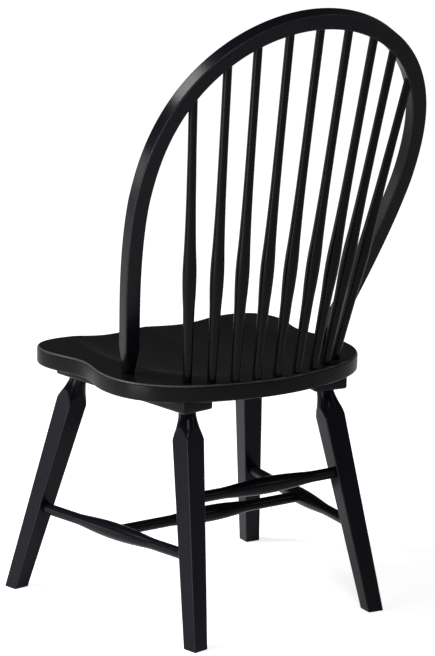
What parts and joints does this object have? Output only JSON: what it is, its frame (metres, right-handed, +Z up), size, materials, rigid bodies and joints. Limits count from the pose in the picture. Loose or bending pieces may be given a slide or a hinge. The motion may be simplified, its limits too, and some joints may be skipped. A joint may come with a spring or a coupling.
{
  "type": "windsor chair",
  "caption": "Bow-back windsor dining chair in black lacquered wood, with turned spindles, a saddled seat on cleats, and splayed square legs joined by stretchers.",
  "frame": {"origin": "on the floor, in the middle of the chair's footprint box", "axes": "+Z up, the sitter faces -Y, and the sitter's left hand is towards +X"},
  "size_m": [0.5588, 0.5994, 1.0489],
  "materials": {
    "seat": "black satin lacquer over wood",
    "bow": "black satin lacquer over wood",
    "spindles": "black satin lacquer over wood",
    "legs": "black satin lacquer over wood",
    "cleats": "black satin lacquer over wood",
    "stretchers": "black satin lacquer over wood",
    "screws": "zinc plated steel"
  },
  "bodies": {
    "root": {"seat": "seat", "bow": "bow", "spindle_1": "spindles", "spindle_2": "spindles", "spindle_3": "spindles", "spindle_4": "spindles", "spindle_5": "spindles", "spindle_6": "spindles", "spindle_7": "spindles", "spindle_8": "spindles", "spindle_9": "spindles", "leg_front_left": "legs", "leg_front_right": "legs", "leg_rear_left": "legs", "leg_rear_right": "legs", "cleat_left": "cleats", "cleat_right": "cleats", "stretcher_side_left": "stretchers", "stretcher_side_right": "stretchers", "stretcher_cross": "stretchers", "stretcher_rear": "stretchers", "cleat_screws": "screws"}
  },
  "joints": []
}
